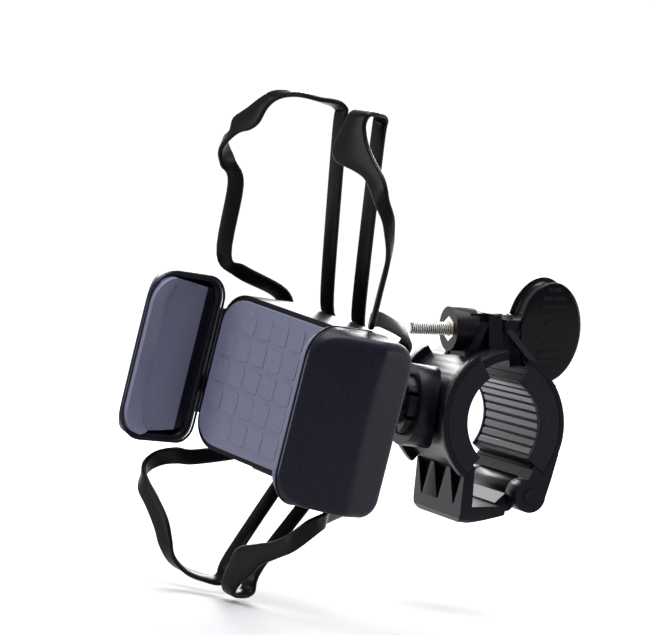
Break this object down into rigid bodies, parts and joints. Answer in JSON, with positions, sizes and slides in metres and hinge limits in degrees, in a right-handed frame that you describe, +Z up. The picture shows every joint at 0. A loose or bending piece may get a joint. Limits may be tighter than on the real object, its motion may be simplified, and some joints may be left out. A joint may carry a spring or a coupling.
{
  "type": "handlebar phone mount",
  "caption": "Handlebar phone mount: hinged screw clamp with ribbed rubber inserts, ball joint, cradle with sliding side jaws and a stretched silicone corner band.",
  "frame": {"origin": "centre of the clamped handlebar, halfway along the clamp", "axes": "+X along the handlebar, +Z up, and the rider and the phone's screen are on the -Y side"},
  "size_m": [0.0924, 0.1412, 0.1444],
  "materials": {
    "body_plastic": "fine satin moulded nylon",
    "jaw_plastic": "fine grain matt",
    "knob_plastic": "glossy",
    "insert_rubber": "matt",
    "pad_rubber": "soft matt blue-grey",
    "band_silicone": "satin silicone",
    "steel": "zinc plated",
    "nut_metal": "zinc plated, warm",
    "gear_plastic": "natural acetal"
  },
  "bodies": {
    "front_clamp": {"clamp_front_shell": "body_plastic", "front_insert": "insert_rubber", "hinge_pin": "body_plastic", "captive_nut": "nut_metal", "ball_cup": "body_plastic"},
    "rear_clamp": {"clamp_rear_shell": "body_plastic", "rear_insert": "insert_rubber"},
    "screw_washer": {"thrust_washer": "steel"},
    "screw_knob": {"clamp_bolt": "steel", "thumb_knob": "knob_plastic"},
    "seat": {"ball_seat": "body_plastic"},
    "stem": {"ball_stem": "body_plastic", "stem_screw": "steel"},
    "cradle": {"cradle_back_housing": "body_plastic", "cradle_front_plate": "body_plastic", "cradle_front_pad": "pad_rubber", "housing_screws": "steel", "pinion_axle": "steel", "pinion_spring": "steel", "button_spring": "steel", "band_ring": "band_silicone", "band_loop_upper_right": "band_silicone", "band_loop_upper_left": "band_silicone", "band_loop_lower_right": "band_silicone", "band_loop_lower_left": "band_silicone"},
    "jaw_right": {"jaw_shell_right": "jaw_plastic", "jaw_pad_right": "pad_rubber", "rack_arm_right": "body_plastic", "jaw_screws_right": "steel"},
    "jaw_left": {"jaw_shell_left": "jaw_plastic", "jaw_pad_left": "pad_rubber", "rack_arm_left": "body_plastic", "jaw_screws_left": "steel"},
    "pinion": {"drive_pinion": "gear_plastic"},
    "button": {"release_button": "knob_plastic"}
  },
  "joints": [
    {"name": "knob_turn", "type": "hinge", "parent": "screw_washer", "child": "screw_knob", "pos_m": [0, -0.0128, 0.0242], "axis": [0, 0.9925, 0.1219], "range_deg": [0, 5760.5]},
    {"name": "bolt_travel", "type": "slide", "parent": "front_clamp", "child": "screw_washer", "axis": [0, 0.9925, 0.1219], "range_m": [0, 0.0112]},
    {"name": "clamp_open", "type": "hinge", "parent": "front_clamp", "child": "rear_clamp", "pos_m": [0, 0.0132, -0.0212], "axis": [-1, 0, 0], "range_deg": [0, 12.2]},
    {"name": "seat_turn", "type": "hinge", "parent": "front_clamp", "child": "seat", "pos_m": [0, -0.0232, 0], "axis": [0, -1, 0], "continuous": true},
    {"name": "ball_tilt", "type": "hinge", "parent": "seat", "child": "stem", "pos_m": [0, -0.0232, 0], "axis": [-0.0093, 0, 1], "range_deg": [-24.2, 4]},
    {"name": "cradle_turn", "type": "hinge", "parent": "stem", "child": "cradle", "pos_m": [0, -0.0232, 0], "axis": [0.4097, -0.9122, 0.0038], "continuous": true},
    {"name": "jaw_right_slide", "type": "slide", "parent": "cradle", "child": "jaw_right", "axis": [0.9062, 0.4065, -0.1165], "range_m": [-0.0057, 0.014]},
    {"name": "jaw_left_slide", "type": "slide", "parent": "cradle", "child": "jaw_left", "axis": [-0.9062, -0.4065, 0.1165], "range_m": [-0.0057, 0.014]},
    {"name": "pinion_turn", "type": "hinge", "parent": "cradle", "child": "pinion", "pos_m": [0.01944, -0.06649, 0.00018], "axis": [0.4097, -0.9122, 0.0038], "range_deg": [-202, 83]},
    {"name": "button_press", "type": "slide", "parent": "cradle", "child": "button", "axis": [0.1047, 0.0512, 0.9932], "range_m": [0, 0.0014], "stiffness_N_per_m": 600, "springref_m": -0.001}
  ],
  "couplings": [
    {"joint": "knob_turn", "follows": "bolt_travel", "rad_per_m": 8976},
    {"joint": "clamp_open", "follows": "bolt_travel", "rad_per_m": 18.939},
    {"joint": "jaw_left_slide", "follows": "jaw_right_slide", "ratio": 1},
    {"joint": "pinion_turn", "follows": "jaw_right_slide", "rad_per_m": -250}
  ]
}
